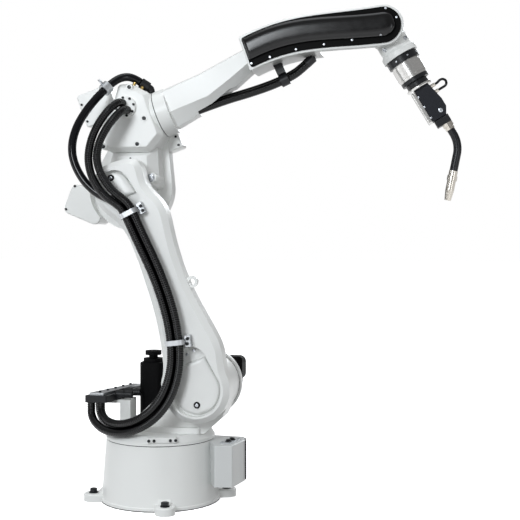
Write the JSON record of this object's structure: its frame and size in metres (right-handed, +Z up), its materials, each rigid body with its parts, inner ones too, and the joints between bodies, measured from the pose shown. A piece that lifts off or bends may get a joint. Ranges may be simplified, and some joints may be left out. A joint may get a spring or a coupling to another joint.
{
  "type": "industrial welding robot arm",
  "caption": "Floor-mounted articulated robot arm with a round bolted base, offset lower arm, humped forearm with a belt cover, hose loops and a curved welding torch.",
  "frame": {"origin": "floor level on the waist axis, at the middle of the foot bolt circle", "axes": "+Z up along the waist axis, +X the way the forearm points, -Y the side the lower arm is on"},
  "size_m": [1.4889, 0.5508, 1.8035],
  "materials": {
    "white_paint": "satin powder coat",
    "white_cover": "satin paint on covers",
    "motor_black": "matt black",
    "black_plastic": "moulded",
    "gloss_black": "gloss",
    "black_anodised": "black anodised",
    "bare_aluminium": "milled",
    "machined_steel": "turned",
    "nickel_brass": "nickel plated",
    "neck_sleeve": "shrink sleeve",
    "ribbed_hose": "ribbed conduit",
    "smooth_hose": "smooth jacket"
  },
  "bodies": {
    "base": {"base_casting": "white_paint", "connector_box": "white_cover", "connector_door": "black_plastic"},
    "turret": {"turret_casting": "white_paint", "shoulder_gear_case": "white_paint", "waist_motor": "motor_black", "waist_motor_cap": "motor_black", "shoulder_motor": "motor_black", "shoulder_motor_cap": "motor_black", "manifold_bracket": "white_paint", "hose_manifold": "black_plastic", "manifold_rail": "bare_aluminium", "manifold_connectors": "black_plastic", "hose_a_shoulder": "ribbed_hose", "hose_b_shoulder": "ribbed_hose", "hose_c_shoulder": "smooth_hose"},
    "lower_arm": {"lower_arm_casting": "white_paint", "shoulder_cover": "white_cover", "elbow_end_cover": "white_cover", "lower_hose_clamp": "bare_aluminium", "upper_hose_clamp": "bare_aluminium", "hose_a_arm": "ribbed_hose", "hose_b_arm": "ribbed_hose", "hose_c_arm": "smooth_hose"},
    "elbow": {"elbow_casting": "white_paint", "elbow_gear_case": "white_paint", "elbow_motor": "white_cover", "rear_motor_cover": "white_cover", "roll_motor_cover": "white_cover", "hose_gland": "white_paint", "top_hose_clamp": "bare_aluminium", "top_cable_gland": "black_plastic", "hose_a_elbow": "ribbed_hose", "hose_b_elbow": "ribbed_hose", "hose_c_elbow": "smooth_hose", "hose_c_top": "smooth_hose"},
    "forearm": {"forearm_beam": "white_paint", "belt_cover": "gloss_black", "forearm_gland": "black_plastic", "forearm_hose_clip": "black_plastic", "hose_d_forearm": "ribbed_hose", "hose_e_forearm": "ribbed_hose"},
    "wrist": {"wrist_housing": "white_paint", "wrist_ring": "black_anodised"},
    "tool": {"tool_flange": "machined_steel", "shock_collar": "black_anodised", "torch_clamp_ring": "machined_steel", "torch_body": "black_plastic", "torch_side_plate": "machined_steel", "torch_plugs": "nickel_brass", "torch_lead": "smooth_hose", "torch_grip": "black_anodised", "torch_fitting": "nickel_brass", "torch_neck": "neck_sleeve", "nozzle_holder": "nickel_brass", "gas_nozzle": "nickel_brass"}
  },
  "joints": [
    {"name": "waist", "type": "hinge", "parent": "base", "child": "turret", "pos_m": [0, 0, 0.228], "axis": [0, 0, 1], "range_deg": [-170, 170]},
    {"name": "shoulder", "type": "hinge", "parent": "turret", "child": "lower_arm", "pos_m": [0.175, 0, 0.432], "axis": [0, 1, 0], "range_deg": [-70, 120], "deforming": ["hose_a_shoulder", "hose_b_shoulder", "hose_c_shoulder"]},
    {"name": "elbow", "type": "hinge", "parent": "lower_arm", "child": "elbow", "pos_m": [-0.12287, 0, 1.15829], "axis": [0, -1, 0], "range_deg": [-55, 150], "deforming": ["hose_a_elbow", "hose_b_elbow", "hose_c_elbow"]},
    {"name": "forearm_roll", "type": "hinge", "parent": "elbow", "child": "forearm", "pos_m": [-0.19631, 0, 1.36567], "axis": [0.9426, 0, 0.3338], "range_deg": [-190, 190]},
    {"name": "wrist_bend", "type": "hinge", "parent": "forearm", "child": "wrist", "pos_m": [0.834, 0, 1.73052], "axis": [0, -1, 0], "range_deg": [-60, 205]},
    {"name": "tool_roll", "type": "hinge", "parent": "wrist", "child": "tool", "pos_m": [0.834, 0, 1.73052], "axis": [0.5105, 0, -0.8599], "range_deg": [-210, 210]}
  ]
}
